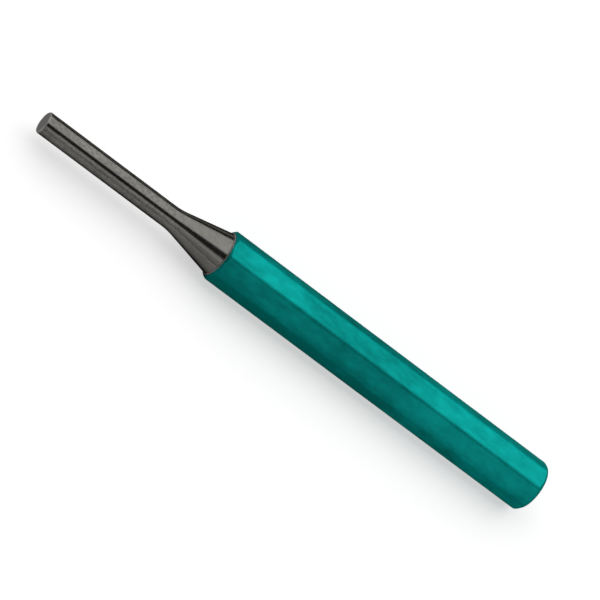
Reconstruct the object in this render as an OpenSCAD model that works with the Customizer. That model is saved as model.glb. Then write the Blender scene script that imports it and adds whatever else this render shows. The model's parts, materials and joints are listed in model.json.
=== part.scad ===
// Pin punch: a hardened pin with a tapered shoulder, pressed into an eight-sided steel
// body that wears a coat of lacquer. It lies on one flat, with its axis along X, its
// tip towards -X and its struck end towards +X. Millimetres.

/* [Pin] */
// Diameter of the parallel pin
pin_d = 5.7; // [4:0.1:8]
// Length from the pin's tip to the start of the taper
pin_len = 39; // [25:1:60]
// Edge break around the pin's tip
tip_chamfer = 0.3; // [0.1:0.05:0.8]
// Radius that blends the pin into the taper
blend_r = 15; // [4:1:24]
// Length of the taper between the pin and the body
taper_len = 13.5; // [8:0.5:20]
// Diameter of the taper where it seats on the body
taper_d = 11.3; // [9.5:0.1:11.4]

/* [Tang] */
// Diameter of the tang that is pressed into the body
tang_d = 6.5; // [5:0.1:8]
// Length of the tang behind the seat
tang_len = 18; // [10:1:30]
// Lead chamfer on the end of the tang
tang_chamfer = 0.6; // [0.2:0.1:1.2]
// Radial clearance between the tang and its bore
tang_clearance = 0.01; // [0.005:0.005:0.05]

/* [Body] */
// Finished width over the lacquer, from flat to opposite flat
body_af = 12.7; // [12.4:0.1:18]
// Length of the lacquered body, from its front face to the struck end
body_len = 97.5; // [60:0.5:140]
// Radius of the steel bar's corners, between one flat and the next
corner_r = 2.2; // [0.5:0.1:3]
// Angle of the shoulder at the front, from the axis
shoulder_angle = 45; // [30:1:60]
// Chamfer around the struck end, measured on a flat
head_chamfer = 0.6; // [0.3:0.1:2]
// Depth of the bore beyond the end of the tang
bore_relief = 2; // [1:0.5:6]
// Chamfer around the mouth of the bore
mouth_chamfer = 0.5; // [0.2:0.1:0.8]
// Included angle of the drill point at the end of the bore
drill_point = 118; // [90:1:140]

/* [Lacquer] */
// Thickness of the lacquer coat
coat_t = 0.15; // [0.1:0.05:0.4]
// Length of the bare ring between the taper and the front edge of the lacquer
bare_len = 0.2; // [0.1:0.05:0.4]

/* [Hidden] */

// Flats on the bar, and the angle from one flat to the next
flats = 8;
flat_step = 360 / flats;
half_step = flat_step / 2;

// Straight pieces in the arc of one corner, and in the blend at the taper
corner_steps = 6;
blend_steps = 10;

// Facets of the turned solids
turned_fn = 96;

// Overrun of a cut past the face that it opens
overrun = 1;

pin_r = pin_d / 2;
taper_r = taper_d / 2;
tang_r = tang_d / 2;
bore_r = tang_r + tang_clearance;

// Places along the axis, from the tip, and the height of the axis over the flat below
seat_x = pin_len + taper_len;
punch_len = seat_x + body_len;
axis_z = body_af / 2;

// Slope of the taper, and the length of pin that the blend takes up
taper_angle = atan((taper_r - pin_r) / taper_len);
blend_take = blend_r * tan(taper_angle / 2);

// The steel bar under the lacquer
bar_af = body_af - 2 * coat_t;
bar_len = body_len - coat_t;
bar_face_r = bar_af / 2 - head_chamfer;
bore_depth = tang_len + bore_relief;

// The lacquer's outer face, one coat outside the bar, also over its shoulder and chamfer
coat_front_r = taper_r + coat_t / cos(shoulder_angle);
coat_corner_r = corner_r + coat_t;
coat_face_r = bar_face_r + coat_t * (sqrt(2) - 1);

// A radius that clears every corner of the lacquered body
clear_r = body_af / 2 / cos(half_step) + overrun;

// Lays a solid that stands on +Z along the punch, with its foot at x from the tip
module along_axis(x) {
    translate([x - punch_len / 2, 0, axis_z])
        rotate([0, 90, 0])
            children();
}

// Point at a distance from the centre, in the direction of an angle
function polar(r, a) = r * [cos(a), sin(a)];

// Outline of an eight-sided bar: an arc at each corner, from flat to flat
function octagon(af, r) = [
    for (k = [0 : flats - 1], s = [0 : corner_steps])
        let (start = k * flat_step)
            polar((af / 2 - r) / cos(half_step), start + half_step)
                + polar(r, start + flat_step * s / corner_steps)
];

module octagonal_bar(af, r, len) {
    linear_extrude(height = len)
        polygon(octagon(af, r));
}

// Turned outside of the body: a shoulder at the front and a chamfer at the struck end
module turned_outside(front_r, len, face_r) {
    rotate_extrude($fn = turned_fn)
        polygon([
            [0, 0],
            [front_r, 0],
            [clear_r, (clear_r - front_r) / tan(shoulder_angle)],
            [clear_r, len + face_r - clear_r],
            [face_r, len],
            [0, len]
        ]);
}

// The steel bar before it is bored
module bar_blank() {
    intersection() {
        octagonal_bar(bar_af, corner_r, bar_len);
        turned_outside(taper_r, bar_len, bar_face_r);
    }
}

// Blend from the pin into the taper, as points of radius and place
function blend_points() = [
    for (s = [0 : blend_steps])
        let (a = taper_angle * s / blend_steps)
            [pin_r + blend_r * (1 - cos(a)), pin_len - blend_take + blend_r * sin(a)]
];

// Pin, taper, seat and tang, turned and ground in one piece
module punch_pin() {
    tang_end = seat_x + tang_len;
    outline = concat(
        [[0, 0], [pin_r - tip_chamfer, 0], [pin_r, tip_chamfer]],
        blend_points(),
        [
            [taper_r, seat_x],
            [tang_r, seat_x],
            [tang_r, tang_end - tang_chamfer],
            [tang_r - tang_chamfer, tang_end],
            [0, tang_end]
        ]
    );
    color("dimgray")
        along_axis(0)
            rotate_extrude($fn = turned_fn)
                polygon(outline);
}

// Blind bore for the tang, with a lead-in at its mouth and a drill point at its end
module tang_bore() {
    mouth_r = bore_r + mouth_chamfer;
    point_depth = bore_r / tan(drill_point / 2);
    rotate_extrude($fn = turned_fn)
        polygon([
            [0, -overrun],
            [mouth_r, -overrun],
            [mouth_r, 0],
            [bore_r, mouth_chamfer],
            [bore_r, bore_depth],
            [0, bore_depth + point_depth]
        ]);
}

// Eight-sided steel bar: front shoulder, bore for the tang, chamfered struck end
module octagonal_body() {
    color("slategray")
        along_axis(seat_x)
            difference() {
                bar_blank();
                tang_bore();
            }
}

// Lacquer over the shoulder, the flats and the struck end, behind a bare ring of steel
module lacquer_coat() {
    color("teal")
        along_axis(seat_x)
            difference() {
                intersection() {
                    octagonal_bar(body_af, coat_corner_r, body_len);
                    turned_outside(coat_front_r, body_len, coat_face_r);
                }
                bar_blank();
                translate([0, 0, -overrun])
                    cylinder(r = clear_r, h = bare_len + overrun, $fn = turned_fn);
            }
}

punch_pin();
octagonal_body();
lacquer_coat();
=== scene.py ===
"""Pin punch: a ground steel pin in an eight-sided bar under teal lacquer, on a pale floor."""

import json
import math

import bmesh
import bpy
from bpy.props import FloatProperty, FloatVectorProperty, IntProperty, PointerProperty
from bpy.types import Operator, Panel, PropertyGroup
from mathutils import Matrix, Vector


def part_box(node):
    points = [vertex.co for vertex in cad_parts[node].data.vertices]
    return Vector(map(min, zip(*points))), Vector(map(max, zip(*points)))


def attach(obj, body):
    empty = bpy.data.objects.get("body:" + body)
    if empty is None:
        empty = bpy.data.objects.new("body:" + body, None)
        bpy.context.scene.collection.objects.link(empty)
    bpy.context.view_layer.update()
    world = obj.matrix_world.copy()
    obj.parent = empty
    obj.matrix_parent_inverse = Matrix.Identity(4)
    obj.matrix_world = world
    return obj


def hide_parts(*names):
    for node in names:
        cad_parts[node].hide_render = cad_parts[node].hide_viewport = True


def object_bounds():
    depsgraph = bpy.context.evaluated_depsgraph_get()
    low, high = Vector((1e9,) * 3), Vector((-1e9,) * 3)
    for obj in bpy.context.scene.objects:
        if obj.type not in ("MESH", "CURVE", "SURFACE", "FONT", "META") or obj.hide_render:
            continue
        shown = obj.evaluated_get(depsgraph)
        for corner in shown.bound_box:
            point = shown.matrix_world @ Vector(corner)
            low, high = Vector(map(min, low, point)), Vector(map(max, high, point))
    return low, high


bl_info = {
    "name": "Pin Punch",
    "version": (1, 0, 0),
    "blender": (4, 5, 0),
    "location": "View3D > Sidebar > Pin Punch",
    "description": "Builds a lacquered octagonal pin punch and its studio",
    "category": "Add Mesh",
}

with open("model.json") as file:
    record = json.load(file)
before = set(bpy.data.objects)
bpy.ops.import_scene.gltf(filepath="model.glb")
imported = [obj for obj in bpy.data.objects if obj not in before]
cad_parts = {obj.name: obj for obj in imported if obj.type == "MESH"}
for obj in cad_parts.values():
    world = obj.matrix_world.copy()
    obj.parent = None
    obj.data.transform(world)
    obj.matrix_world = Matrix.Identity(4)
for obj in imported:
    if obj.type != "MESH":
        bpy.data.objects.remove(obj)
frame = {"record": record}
CAD_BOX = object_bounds()

MM = 0.001
FLATS = 8
HALF_STEP = math.pi / FLATS

# The frame's own places and sizes, in metres
MOUNTS = {mount["name"]: mount for mount in frame["record"]["mounts"]}
PIN_LOW, PIN_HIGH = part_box("punch_pin")
BAR_LOW, BAR_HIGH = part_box("octagonal_body")
COAT_LOW, COAT_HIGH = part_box("lacquer_coat")
AXIS_Z = MOUNTS["pin"]["pos_m"][2]
PIN_RADIUS = MOUNTS["pin"]["dims"]["r_mm"] * MM
TAPER_RADIUS = (PIN_HIGH.y - PIN_LOW.y) / 2
TIP_X = PIN_LOW.x
SEAT_X = BAR_LOW.x
TANG_END_X = PIN_HIGH.x
BAR_END_X = BAR_HIGH.x
COAT_START_X = COAT_LOW.x
COAT_END_X = COAT_HIGH.x
BAR_WIDTH = BAR_HIGH.z - BAR_LOW.z
COAT_WIDTH = COAT_HIGH.z - COAT_LOW.z
COAT_THICKNESS = COAT_END_X - BAR_END_X

# Segments of the rounded edges
EDGE_SEGMENTS = 3
BLEND_SEGMENTS = 24
TANG_SEGMENTS = 2
COAT_SEGMENTS = 4

# Width of the strip that is kept flat beside a rounded edge, in roundings
HOLD = 2
WIDE_HOLD = 3
SHOULDER_HOLD = 1.2

# Vertices closer than this are one
MERGE_DISTANCE = 0.0001 * MM

# Noise cells per metre, along the punch and across it
STREAKS = (40, 3000, 3000)
GRAIN = (1500, 2000, 2000)
STAINS = (90, 220, 220)
TOOL_MARKS = (9000, 40, 40)
CLOUDS = (200, 400, 400)
PEEL = (900, 1300, 1300)

# The middle of a noise's values
NOISE_MIDDLE = 0.5

# How much of a plain metal's mirroring is left close to the outline
STEEL_OUTLINE = (0.1, 0.1, 0.1)
LACQUER_OUTLINE = (0.0, 0.48, 0.44)

# Stops of the ramps, as pairs of a place and the value there

# From the tip to the seat: how far the grain is smoothed out
GRAIN_FADE = ((0.7, 0.0), (0.8, 0.7))
# Over the mixed noises of the ground steel: its tone
STEEL_TONE = ((0.35, 0.0), (0.65, 1.0))
# From the tip, over two edge breaks: where the fresh cut shows
FRESH_CUT = ((0.45, 1.0), (0.6, 0.0))
# From the lacquer's front to the struck end: its tone, darker at the front and lighter towards the
# struck end
LACQUER_TONE = ((0.0, 0.1), (0.2, 0.38), (0.3, 0.25), (0.5, 0.3), (0.65, 0.7), (1.0, 0.7))
# From the middle of the painted highlight outwards: how strong it is
PAINTED_HIGHLIGHT = ((0.3, 1.0), (0.8, 0.0))
# From the resting flat to the top flat: where painted shade darkens the lower flats
LOW_FLAT_SHADE = ((0.72, 1.0), (0.79, 0.0))
# From the middle of a flat to its corner: how worn the lacquer is
WORN_CORNER = ((0.5, 0.0), (1.0, 1.0))
# Over the contact distance: how much of the floor's glow a reflection shows
CONTACT_FADE = ((0.1, 0.0), (1.0, 1.0))

# Half the side of the floor, and the lamps' distance from the punch's axis, in metres
FLOOR_REACH = 4.0
LAMP_DISTANCE = 0.8

# Name, degrees about the axis from the -Y side upwards, width, length, place on X, level
LAMPS = (
    ("top_softbox", 117.75, 1.331, 2.6, -0.2, 1.12),
    ("front_softbox_high", 36.4, 0.27, 1.6, 0.3, 0.72),
    ("front_softbox_low", 15.65, 0.315, 1.6, 0.3, 0.45),
)


def length(name, description, default):
    """A property for a length in metres."""
    return FloatProperty(
        name=name, description=description, default=default, min=0.0, precision=5, unit="LENGTH"
    )


def angle(name, description, degrees):
    """A property for an angle, whose default is given in degrees."""
    return FloatProperty(
        name=name, description=description, default=math.radians(degrees), subtype="ANGLE"
    )


def colour(name, description, default):
    """A property for a linear colour."""
    return FloatVectorProperty(
        name=name, description=description, default=default,
        size=3, min=0.0, max=1.0, subtype="COLOR",
    )


class PinSettings(PropertyGroup):
    """Sizes and colours of the ground pin."""

    straight: length("Pin length", "From the tip to the start of the taper", 39 * MM)
    tip_edge: length("Tip edge", "Edge break around the tip", 0.3 * MM)
    blend: length("Blend", "Radius that blends the pin into the taper", 15 * MM)
    soft_edge: length("Soft edge", "Rounding of the turned edges", 0.1 * MM)
    tang_radius: length("Tang radius", "Radius of the tang inside the bar", 3.25 * MM)
    tang_edge: length("Tang edge", "Lead chamfer on the tang", 0.6 * MM)
    steps: IntProperty(name="Steps", description="Steps round the pin", default=160, min=24)
    steel: colour("Steel", "Colour of the ground steel", (0.193, 0.187, 0.173))
    cut: colour("Cut steel", "Colour of the fresh cut at the tip", (0.42, 0.41, 0.395))


class BarSettings(PropertyGroup):
    """Sizes and colours of the eight-sided bar."""

    corner: length("Corner radius", "Radius between one flat and the next", 2.2 * MM)
    shoulder: angle("Shoulder", "Slope of the shoulder from the axis", 45)
    chamfer: length("Head chamfer", "Chamfer around the struck end, on a flat", 0.6 * MM)
    bore_gap: length("Bore gap", "Radial gap round the tang", 0.01 * MM)
    bore_relief: length("Bore relief", "Depth of the bore past the tang", 2 * MM)
    bore_mouth: length("Bore mouth", "Chamfer around the mouth of the bore", 0.5 * MM)
    drill_point: angle("Drill point", "Included angle at the end of the bore", 118)
    steps: IntProperty(name="Steps", description="Steps round the bar", default=320, min=64)
    steel: colour("Steel", "Colour of the turned steel", (0.42, 0.4, 0.39))


class LacquerSettings(PropertyGroup):
    """Sizes and colours of the lacquer."""

    lip: length("Lip", "Rounding of the front edge", 0.06 * MM)
    rim_edge: length(
        "Rim edge", "Rounding of the rim between the shoulder and the flats", 0.12 * MM
    )
    head_edge: length("Head edge", "Rounding of the chamfer at the struck end", 0.25 * MM)
    shy: length("Shy", "How far the coat's flats stay inside the frame's box", 0.001 * MM)
    teal: colour("Teal", "Colour of the lacquer", (0.004, 0.312, 0.285))
    # Painted highlight: the lighter patch at the front of the upper flat
    thin: length(
        "Thin patch", "Length of the thin, lighter patch at the front of the upper flat", 40 * MM
    )


class StageSettings(PropertyGroup):
    """Camera, lights and floor."""

    view_tilt: angle("View tilt", "How far the tip leans towards the camera", 19.5)
    view_rise: angle("View rise", "Height of the camera over the floor, about the punch's axis", 58)
    view_slope: angle("View slope", "Slope of the punch in the picture, down to the right", 36.87)
    view_distance: length(
        "View distance", "From the middle of the punch to the camera", 1213 * MM
    )
    aim_right: length(
        "Aim right", "How far the picture's middle lies right of the punch's", 1.69 * MM
    )
    aim_up: length("Aim up", "How far the picture's middle lies above the punch's", 2.0 * MM)
    lens: FloatProperty(
        name="Lens", description="Focal length in millimetres",
        default=314.2, min=20.0, unit="CAMERA",
    )
    floor: colour("Floor", "Colour of the floor", (0.78, 0.78, 0.78))
    glow: FloatProperty(
        name="Glow", description="Light of the floor's own, as seen by the eye or in a reflection",
        default=0.52, min=0.0, max=1.0, subtype="FACTOR",
    )
    contact: length(
        "Contact", "How close to the floor a reflection loses sight of its glow", 300 * MM
    )
    ambient: FloatProperty(
        name="Ambient", description="Level of the light all round", default=0.02, min=0.0
    )


class PunchSettings(PropertyGroup):
    """Everything a user may change."""

    pin: PointerProperty(type=PinSettings)
    bar: PointerProperty(type=BarSettings)
    lacquer: PointerProperty(type=LacquerSettings)
    stage: PointerProperty(type=StageSettings)


# Shader maths

class Wire:
    """An output of a shader tree. Arithmetic on it adds Math nodes."""

    def __init__(self, tree, socket=None):
        self.tree = tree
        self.socket = socket

    def add(self, kind, settings=None, sockets=None, out=0):
        """Adds a node of any kind: settings first, then the values or links of its sockets.

        Returns one of its outputs.
        """
        node = self.tree.nodes.new(kind)
        for name, value in (settings or {}).items():
            if name == "stops":
                set_stops(node.color_ramp, value)
            else:
                setattr(node, name, value)
        for key, value in (sockets or {}).items():
            if isinstance(value, Wire):
                self.tree.links.new(value.socket, node.inputs[key])
            else:
                node.inputs[key].default_value = value
        return Wire(self.tree, node.outputs[out] if node.outputs else None)

    def maths(self, operation, *values):
        """Adds a Math node."""
        return self.add("ShaderNodeMath", {"operation": operation}, dict(enumerate(values)))

    def __add__(self, other):
        return self.maths("ADD", self, other)

    def __sub__(self, other):
        return self.maths("SUBTRACT", self, other)

    def __rsub__(self, other):
        return self.maths("SUBTRACT", other, self)

    def __mul__(self, other):
        return self.maths("MULTIPLY", self, other)

    __radd__ = __add__
    __rmul__ = __mul__


def set_stops(color_ramp, stops):
    """Puts a ramp's stops at (place, grey) pairs."""
    while len(color_ramp.elements) < len(stops):
        color_ramp.elements.new(1.0)
    for element, (position, grey) in zip(color_ramp.elements, stops):
        element.position = position
        element.color = (grey, grey, grey, 1.0)


def new_material(name):
    """An empty node material, and a Wire to add its nodes with."""
    material = bpy.data.materials.new(name)
    material.use_nodes = True
    material.node_tree.nodes.clear()
    return material, Wire(material.node_tree)


def finish_material(wire, shader):
    """Links a shader to the material's output."""
    wire.add("ShaderNodeOutputMaterial", None, {"Surface": shader})


def place(wire):
    """The surface's own place, in metres."""
    return wire.add("ShaderNodeTexCoord", out="Object")


def coordinate(wire, where, axis):
    """One coordinate of a place."""
    return wire.add("ShaderNodeSeparateXYZ", None, {"Vector": where}, out=axis)


def distance(wire, where, centre, scale):
    """Distance of a place from a centre, with each axis scaled."""
    kind = "ShaderNodeVectorMath"
    offset = wire.add(kind, {"operation": "SUBTRACT"}, {0: where, 1: centre})
    scaled = wire.add(kind, {"operation": "MULTIPLY"}, {0: offset, 1: scale})
    return wire.add(kind, {"operation": "LENGTH"}, {0: scaled}, out="Value")


def noise(wire, where, cells, detail=2.0, roughness=0.5):
    """Noise with a number of cells per metre on each axis."""
    spread = wire.add(
        "ShaderNodeMapping", {"vector_type": "POINT"}, {"Vector": where, "Scale": cells}
    )
    return wire.add(
        "ShaderNodeTexNoise",
        {"noise_dimensions": "3D"},
        {"Vector": spread, "Scale": 1.0, "Detail": detail, "Roughness": roughness},
        out="Fac",
    )


def ramp(wire, value, stops):
    """A value reshaped between its stops."""
    return wire.add("ShaderNodeValToRGB", {"stops": stops}, {"Fac": value})


def rgba(colour_value, level=1.0):
    """A colour for a socket, at a level."""
    return (*(level * c for c in colour_value), 1.0)


def mix_colour(wire, factor, first, second):
    """Two colours mixed by a factor."""
    return wire.add(
        "ShaderNodeMix",
        {"data_type": "RGBA", "blend_type": "MIX"},
        {"Factor": factor, 6: first, 7: second},
        out=2,
    )


def shades(wire, tone, colour_value, dark, light):
    """A colour from a dark level to a light one, by a tone."""
    return mix_colour(wire, tone, rgba(colour_value, dark), rgba(colour_value, light))


def bump(wire, height, strength, depth):
    """A normal that follows a height."""
    return wire.add(
        "ShaderNodeBump", None, {"Strength": strength, "Distance": depth, "Height": height}
    )


def ground_steel(settings):
    """Hardened steel, ground lengthwise: streaks, heat stains, a grain that fades on the taper."""
    material, wire = new_material("ground_steel")
    where = place(wire)
    from_tip = coordinate(wire, where, "X") - TIP_X
    streaks = noise(wire, where, STREAKS, detail=4, roughness=0.65)
    grain = noise(wire, where, GRAIN, roughness=0.6)
    stains = noise(wire, where, STAINS, detail=3)
    smooth = ramp(wire, from_tip * (1 / (SEAT_X - TIP_X)), GRAIN_FADE)
    faded_grain = grain + (NOISE_MIDDLE - grain) * smooth
    tone = ramp(wire, streaks * 0.25 + faded_grain * 0.5 + stains * 0.25, STEEL_TONE)
    ground = shades(wire, tone, settings.steel, dark=0.6, light=1.4)
    cut = ramp(wire, from_tip * (0.5 / settings.tip_edge), FRESH_CUT)
    shader = wire.add("ShaderNodeBsdfPrincipled", None, {
        "Base Color": mix_colour(wire, cut, ground, rgba(settings.cut)),
        "Metallic": 1.0,
        "Roughness": 0.12 + streaks * 0.13 + cut * 0.25,
        "Specular Tint": rgba(STEEL_OUTLINE),
        "Normal": bump(wire, streaks, strength=0.25, depth=0.01 * MM),
    })
    finish_material(wire, shader)
    return material


def turned_steel(settings):
    """Bare steel with rings left by the turning tool."""
    material, wire = new_material("turned_steel")
    rings = noise(wire, place(wire), TOOL_MARKS)
    shader = wire.add("ShaderNodeBsdfPrincipled", None, {
        "Base Color": shades(wire, rings, settings.steel, dark=0.8, light=1.2),
        "Metallic": 1.0,
        "Roughness": 0.35 + rings * 0.15,
        "Specular Tint": rgba(STEEL_OUTLINE),
        "Normal": bump(wire, rings, strength=0.3, depth=0.01 * MM),
    })
    finish_material(wire, shader)
    return material


def teal_lacquer(settings, corner_reach):
    """Dyed lacquer over bright steel: cloudy, with an orange peel and worn on the corners, with a
    painted highlight in one patch at the front of the upper flat and painted shade on the lower
    flats.
    """
    material, wire = new_material("teal_lacquer")
    where = place(wire)
    clouds = noise(wire, where, CLOUDS, detail=4, roughness=0.6)
    peel = noise(wire, where, PEEL)

    run = (coordinate(wire, where, "X") - COAT_START_X) * (1 / (COAT_END_X - COAT_START_X))
    # Tone along the punch: darker at the front, lighter towards the struck end
    depth = ramp(wire, run, LACQUER_TONE)
    # Painted shade: the lower flats are darkened, as if shade fell on them
    low_flat_shade = ramp(wire, coordinate(wire, where, "Z") * (1 / COAT_WIDTH), LOW_FLAT_SHADE)

    # Painted highlight: a lighter patch at the front of the upper flat, where a lamp's highlight
    # would fall
    highlight_middle = (COAT_START_X + settings.thin / 4, 0.0, COAT_WIDTH)
    highlight_scale = (2 / settings.thin, 2 / COAT_WIDTH, 2 / COAT_WIDTH)
    patch = ramp(wire, distance(wire, where, highlight_middle, highlight_scale), PAINTED_HIGHLIGHT)

    flat_reach = COAT_WIDTH / 2
    radius = distance(wire, where, (0.0, 0.0, AXIS_Z), (0.0, 1.0, 1.0))
    rise = (radius - flat_reach) * (1 / (corner_reach - flat_reach))
    worn = ramp(wire, rise + (peel - NOISE_MIDDLE) * 0.8, WORN_CORNER)

    cloudy = (clouds - NOISE_MIDDLE) * 1.8
    # Painted light in the tone: the patch term is a painted highlight, and the last term is painted
    # shade on the lower flats
    tone = depth + patch * 0.5 + cloudy + worn * 0.15 - low_flat_shade * 0.38
    shader = wire.add("ShaderNodeBsdfPrincipled", None, {
        "Base Color": shades(wire, tone, settings.teal, dark=0.7, light=1.4),
        "Metallic": 0.9,
        "Roughness": 0.38 + clouds * 0.1,
        "Specular IOR Level": 0.02,
        "Specular Tint": rgba(LACQUER_OUTLINE),
        "Normal": bump(wire, peel, strength=0.15, depth=0.03 * MM),
    })
    finish_material(wire, shader)
    return material


def pale_floor(settings):
    """Matt studio floor with a glow for the eye, and for reflections from further off."""
    material, wire = new_material("pale_floor")
    matt = wire.add("ShaderNodeBsdfDiffuse", None, {"Color": rgba(settings.floor)})
    camera, glossy, transmission = (
        wire.add("ShaderNodeLightPath", out=f"Is {kind} Ray")
        for kind in ("Camera", "Glossy", "Transmission")
    )
    reach = wire.add("ShaderNodeLightPath", out="Ray Length") * (1 / settings.contact)
    seen = (camera + glossy + transmission) * ramp(wire, reach, CONTACT_FADE)
    glow = wire.add("ShaderNodeEmission", None, {"Strength": settings.glow})
    lit = wire.add("ShaderNodeAddShader", None, {0: matt, 1: glow})
    finish_material(wire, wire.add("ShaderNodeMixShader", None, {0: seen, 1: matt, 2: lit}))
    return material


# Mesh

def octagon_reach(direction, width, corner):
    """Distance from the axis to an eight-sided outline with round corners, in a direction."""
    apothem = width / 2
    off_flat = abs((direction + HALF_STEP) % (2 * HALF_STEP) - HALF_STEP)
    flat_end = math.atan2((apothem - corner) * math.tan(HALF_STEP), apothem)
    if off_flat <= flat_end:
        return apothem / math.cos(off_flat)
    centre = (apothem - corner) / math.cos(HALF_STEP)
    off_corner = HALF_STEP - off_flat
    past_centre = math.sqrt(corner**2 - (centre * math.sin(off_corner)) ** 2)
    return centre * math.cos(off_corner) + past_centre


def new_piece(name, bm, material, node):
    """Makes a mesh object of a bmesh, dressed and tied to the frame."""
    bmesh.ops.recalc_face_normals(bm, faces=bm.faces)
    mesh = bpy.data.meshes.new(name)
    bm.to_mesh(mesh)
    bm.free()
    mesh.shade_smooth()
    mesh.materials.append(material)
    piece = bpy.data.objects.new(name, mesh)
    bpy.context.scene.collection.objects.link(piece)
    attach(piece, "root")
    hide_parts(node)


def soften(bm, geom, affect, offset, segments):
    """Rounds edges, or the corners of a bare line."""
    bmesh.ops.bevel(
        bm, geom=geom, affect=affect, offset_type="OFFSET", offset=offset,
        segments=segments, profile=0.5, material=-1,
    )


def spin_profile(profile, steps):
    """Spins a line of (place, radius, rounding, segments) points about the punch's axis."""
    bm = bmesh.new()
    verts = [bm.verts.new((x, 0.0, AXIS_Z + radius)) for x, radius, _, _ in profile]
    for pair in zip(verts, verts[1:]):
        bm.edges.new(pair)
    for vert, (_, _, rounding, segments) in zip(verts, profile):
        if rounding:
            soften(bm, [vert], "VERTICES", rounding, segments)
    bmesh.ops.spin(
        bm, geom=bm.verts[:] + bm.edges[:], cent=(0.0, 0.0, AXIS_Z), axis=(1.0, 0.0, 0.0),
        angle=math.tau, steps=steps, use_merge=True,
    )
    bmesh.ops.remove_doubles(bm, verts=bm.verts, dist=MERGE_DISTANCE)
    return bm


def set_ring(verts, ring):
    """Moves a ring's vertices to their place and reach, each in its own direction."""
    for vert in verts:
        direction = math.atan2(vert.co.z - AXIS_Z, vert.co.y)
        x, reach = ring(direction)
        vert.co = (x, reach * math.cos(direction), AXIS_Z + reach * math.sin(direction))


def wind_rings(rings, steps):
    """Extrudes ring after ring about the punch's axis.

    Returns the bmesh, its first face and the edges of each ring.
    """
    bm = bmesh.new()
    upright = Matrix.Translation((0.0, 0.0, AXIS_Z)) @ Matrix.Rotation(math.pi / 2, 4, "Y")
    bmesh.ops.create_circle(bm, cap_ends=True, segments=steps, radius=MM, matrix=upright)
    first_face = bm.faces[:][0]
    set_ring(bm.verts, rings[0])
    loops = [bm.edges[:]]
    for ring in rings[1:]:
        made = bmesh.ops.extrude_edge_only(bm, edges=loops[-1])["geom"]
        set_ring([item for item in made if isinstance(item, bmesh.types.BMVert)], ring)
        loops.append([edge for edge in bm.edges if edge.is_boundary])
    bmesh.ops.edgeloop_fill(bm, edges=loops[-1])
    return bm, first_face, loops


def round_ring(x, reach):
    """A ring with one place and reach in every direction."""
    return lambda direction: (x, reach)


# Pieces

class PUNCH_OT_pin(Operator):
    """Builds the pin with its taper and tang"""

    bl_idname = "pin_punch.pin"
    bl_label = "Ground Pin"

    def execute(self, context):
        sizes = context.scene.pin_punch.pin
        taper_x = TIP_X + sizes.straight
        slope = math.atan((TAPER_RADIUS - PIN_RADIUS) / (SEAT_X - taper_x))
        blend_take = sizes.blend * math.tan(slope / 2)
        tip_shoulder = TIP_X + sizes.tip_edge
        soft = sizes.soft_edge
        hold = HOLD * soft
        seat_hold = WIDE_HOLD * soft
        profile = [
            (TIP_X, 0.0, 0.0, 0),
            (TIP_X, PIN_RADIUS - sizes.tip_edge - hold, 0.0, 0),
            (TIP_X, PIN_RADIUS - sizes.tip_edge, soft, EDGE_SEGMENTS),
            (tip_shoulder, PIN_RADIUS, soft, EDGE_SEGMENTS),
            (tip_shoulder + hold, PIN_RADIUS, 0.0, 0),
            (taper_x - blend_take - hold, PIN_RADIUS, 0.0, 0),
            (taper_x, PIN_RADIUS, blend_take, BLEND_SEGMENTS),
            (SEAT_X - seat_hold, TAPER_RADIUS - seat_hold * math.tan(slope), 0.0, 0),
            (SEAT_X, TAPER_RADIUS, soft, EDGE_SEGMENTS),
            (SEAT_X, TAPER_RADIUS - seat_hold, 0.0, 0),
            (SEAT_X, sizes.tang_radius, 0.0, 0),
            (TANG_END_X - sizes.tang_edge, sizes.tang_radius, soft, TANG_SEGMENTS),
            (TANG_END_X, sizes.tang_radius - sizes.tang_edge, soft, TANG_SEGMENTS),
            (TANG_END_X, 0.0, 0.0, 0),
        ]
        bm = spin_profile(profile, sizes.steps)
        new_piece("ground_pin", bm, ground_steel(sizes), "punch_pin")
        return {"FINISHED"}


class PUNCH_OT_bar(Operator):
    """Builds the eight-sided bar with its shoulder and bore"""

    bl_idname = "pin_punch.bar"
    bl_label = "Octagonal Bar"

    def execute(self, context):
        punch = context.scene.pin_punch
        sizes = punch.bar
        bore = punch.pin.tang_radius + sizes.bore_gap
        bore_end = TANG_END_X + sizes.bore_relief
        face = BAR_WIDTH / 2 - sizes.chamfer

        def reach(direction):
            return octagon_reach(direction, BAR_WIDTH, sizes.corner)

        def shoulder_rim(direction):
            r = reach(direction)
            return SEAT_X + (r - TAPER_RADIUS) / math.tan(sizes.shoulder), r

        def head_rim(direction):
            r = reach(direction)
            return BAR_END_X + face - r, r

        rings = [
            round_ring(bore_end, bore),
            round_ring(SEAT_X + sizes.bore_mouth, bore),
            round_ring(SEAT_X, bore + sizes.bore_mouth),
            round_ring(SEAT_X, TAPER_RADIUS),
            shoulder_rim,
            head_rim,
            round_ring(BAR_END_X, face),
        ]
        bm, bore_floor, _ = wind_rings(rings, sizes.steps)
        point = bore / math.tan(sizes.drill_point / 2)
        bmesh.ops.poke(bm, faces=[bore_floor], offset=-point)
        new_piece("octagonal_bar", bm, turned_steel(sizes), "octagonal_body")
        return {"FINISHED"}


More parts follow.
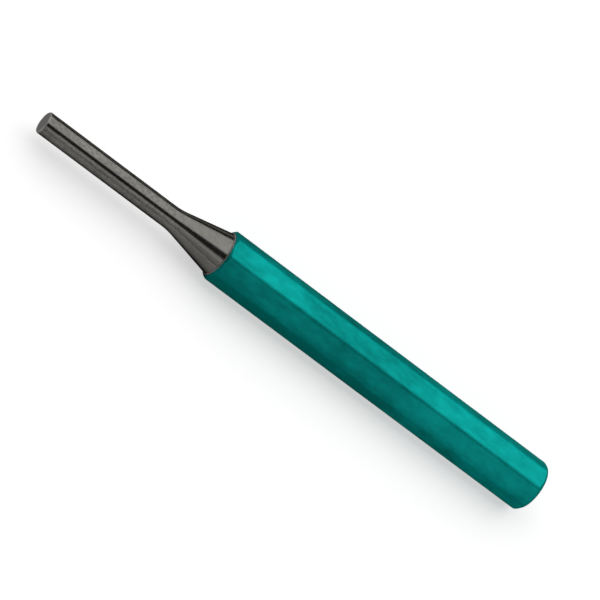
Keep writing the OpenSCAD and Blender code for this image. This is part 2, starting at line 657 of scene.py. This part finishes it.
class PUNCH_OT_lacquer(Operator):
    """Builds the coat of lacquer over the bar"""

    bl_idname = "pin_punch.lacquer"
    bl_label = "Lacquer"

    def execute(self, context):
        punch = context.scene.pin_punch
        bar = punch.bar
        sizes = punch.lacquer
        bar_face = BAR_WIDTH / 2 - bar.chamfer
        coat_face = bar_face + COAT_THICKNESS * (math.sqrt(2) - 1)
        slope = math.tan(bar.shoulder)
        lift = COAT_THICKNESS / math.cos(bar.shoulder)
        front = TAPER_RADIUS + (COAT_START_X - SEAT_X) * slope
        shoulder_hold = SHOULDER_HOLD * sizes.rim_edge
        flat_hold = WIDE_HOLD * sizes.rim_edge
        head_hold = WIDE_HOLD * sizes.head_edge

        def inner(direction):
            return octagon_reach(direction, BAR_WIDTH, bar.corner)

        def outer(direction):
            return octagon_reach(direction, COAT_WIDTH, bar.corner + COAT_THICKNESS) - sizes.shy

        def rim(reach, lift, inside=0.0, back=0.0):
            def ring(direction):
                r = reach(direction) - inside
                return SEAT_X + (r - TAPER_RADIUS - lift) / slope + back, r
            return ring

        def head(reach, end, face, forward=0.0):
            def ring(direction):
                r = reach(direction)
                return end + face - r - forward, r
            return ring

        # Each ring with the rounding of its edge: along the inside to the front, then back outside
        rounded_rings = [
            (round_ring(BAR_END_X, bar_face), 0.0),
            (head(inner, BAR_END_X, bar_face), 0.0),
            (rim(inner, 0.0), 0.0),
            (round_ring(COAT_START_X, front), 0.0),
            (round_ring(COAT_START_X, front + lift), sizes.lip),
            (rim(outer, lift, inside=shoulder_hold), 0.0),
            (rim(outer, lift), sizes.rim_edge),
            (rim(outer, lift, back=flat_hold), 0.0),
            (head(outer, COAT_END_X, coat_face, forward=head_hold), 0.0),
            (head(outer, COAT_END_X, coat_face), sizes.head_edge),
            (round_ring(COAT_END_X, coat_face), sizes.head_edge),
            (round_ring(COAT_END_X, coat_face - head_hold), 0.0),
        ]
        bm, _, loops = wind_rings([ring for ring, _ in rounded_rings], bar.steps)
        for loop, (_, rounding) in zip(loops, rounded_rings):
            if rounding:
                soften(bm, loop, "EDGES", rounding, COAT_SEGMENTS)
        material = teal_lacquer(sizes, outer(HALF_STEP))
        new_piece("lacquer", bm, material, "lacquer_coat")
        return {"FINISHED"}


def softbox(name, about, across, along, centre, level):
    """A soft lamp that faces the punch's axis, at an angle about it from the -Y side upwards."""
    lamp = bpy.data.lights.new(name, "AREA")
    lamp.shape = "RECTANGLE"
    lamp.size = along
    lamp.size_y = across
    lamp.energy = level * along * across * math.pi
    holder = bpy.data.objects.new(name, lamp)
    out, up = -math.cos(about) * LAMP_DISTANCE, math.sin(about) * LAMP_DISTANCE
    holder.location = (centre, out, AXIS_Z + up)
    holder.rotation_euler = (math.pi / 2 - about, 0.0, 0.0)
    holder.visible_camera = False
    bpy.context.scene.collection.objects.link(holder)


class PUNCH_OT_stage(Operator):
    """Builds the floor, the lights and the camera"""

    bl_idname = "pin_punch.stage"
    bl_label = "Stage"

    def execute(self, context):
        scene = context.scene
        settings = scene.pin_punch.stage
        scene.view_settings.view_transform = "Standard"

        bm = bmesh.new()
        bmesh.ops.create_grid(bm, x_segments=1, y_segments=1, size=FLOOR_REACH)
        mesh = bpy.data.meshes.new("floor")
        bm.to_mesh(mesh)
        bm.free()
        mesh.materials.append(pale_floor(settings))
        floor = bpy.data.objects.new("floor", mesh)
        scene.collection.objects.link(floor)

        for name, degrees, across, along, centre, level in LAMPS:
            softbox(name, math.radians(degrees), across, along, centre, level)

        world = bpy.data.worlds.new("studio")
        world.use_nodes = True
        background = world.node_tree.nodes["Background"].inputs
        background["Color"].default_value = rgba((1.0, 1.0, 1.0))
        background["Strength"].default_value = settings.ambient
        scene.world = world

        turn = (
            Matrix.Rotation(math.pi / 2 - settings.view_rise, 4, "X")
            @ Matrix.Rotation(-settings.view_tilt, 4, "Y")
            @ Matrix.Rotation(settings.view_slope, 4, "Z")
        )
        middle = Vector(((CAD_BOX[0].x + CAD_BOX[1].x) / 2, 0.0, AXIS_Z))
        back = Vector((settings.aim_right, settings.aim_up, settings.view_distance))
        camera_data = bpy.data.cameras.new("camera")
        camera_data.lens = settings.lens
        camera = bpy.data.objects.new("camera", camera_data)
        camera.matrix_world = Matrix.Translation(middle + turn.to_3x3() @ back) @ turn
        scene.collection.objects.link(camera)
        scene.camera = camera
        return {"FINISHED"}


class VIEW3D_PT_pin_punch(Panel):
    """Lists the pieces of the punch"""

    bl_label = "Pin Punch"
    bl_space_type = "VIEW_3D"
    bl_region_type = "UI"
    bl_category = "Pin Punch"

    def draw(self, context):
        settings = context.scene.pin_punch
        for operator in OPERATORS:
            self.layout.operator(operator.bl_idname)
        for group in (settings.pin, settings.bar, settings.lacquer, settings.stage):
            box = self.layout.box()
            for name in group.__annotations__:
                box.prop(group, name)


OPERATORS = (PUNCH_OT_pin, PUNCH_OT_bar, PUNCH_OT_lacquer, PUNCH_OT_stage)
CLASSES = (
    PinSettings, BarSettings, LacquerSettings, StageSettings, PunchSettings,
    *OPERATORS, VIEW3D_PT_pin_punch,
)


def register():
    for cls in CLASSES:
        bpy.utils.register_class(cls)
    bpy.types.Scene.pin_punch = PointerProperty(type=PunchSettings)


def unregister():
    del bpy.types.Scene.pin_punch
    for cls in reversed(CLASSES):
        bpy.utils.unregister_class(cls)


def main():
    register()
    bpy.ops.pin_punch.pin()
    bpy.ops.pin_punch.bar()
    bpy.ops.pin_punch.lacquer()
    bpy.ops.pin_punch.stage()


if __name__ == "__main__":
    main()
